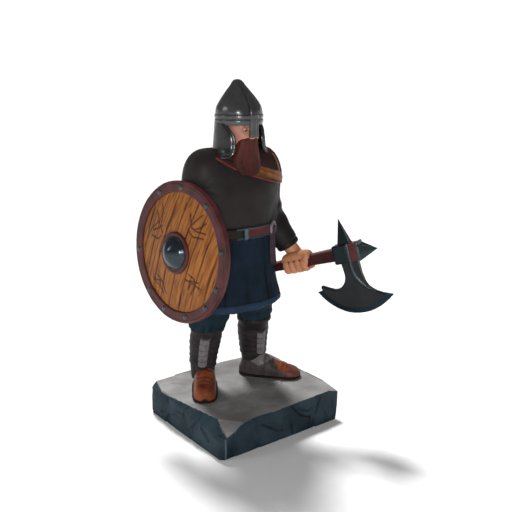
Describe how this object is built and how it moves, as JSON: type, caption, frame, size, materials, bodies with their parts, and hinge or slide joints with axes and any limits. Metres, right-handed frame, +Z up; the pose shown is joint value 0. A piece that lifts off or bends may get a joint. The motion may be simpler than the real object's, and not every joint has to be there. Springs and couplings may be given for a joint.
{
  "type": "viking warrior statue",
  "caption": "Painted resin figurine of a standing viking warrior with helmet, round shield and axe on a rough-hewn plinth.",
  "frame": {"origin": "middle of the plinth's underside", "axes": "+Z up, the figure faces -Y, its left hand with the axe is towards +X"},
  "size_m": [0.1605, 0.1689, 0.2994],
  "materials": {
    "figure_paint": "painted resin, satin",
    "stone_paint": "painted resin, matte",
    "shield_paint": "painted resin, satin",
    "axe_paint": "painted resin, metallic"
  },
  "bodies": {
    "root": {"plinth": "stone_paint", "figure": "figure_paint", "shield": "shield_paint", "axe": "axe_paint"}
  },
  "joints": []
}
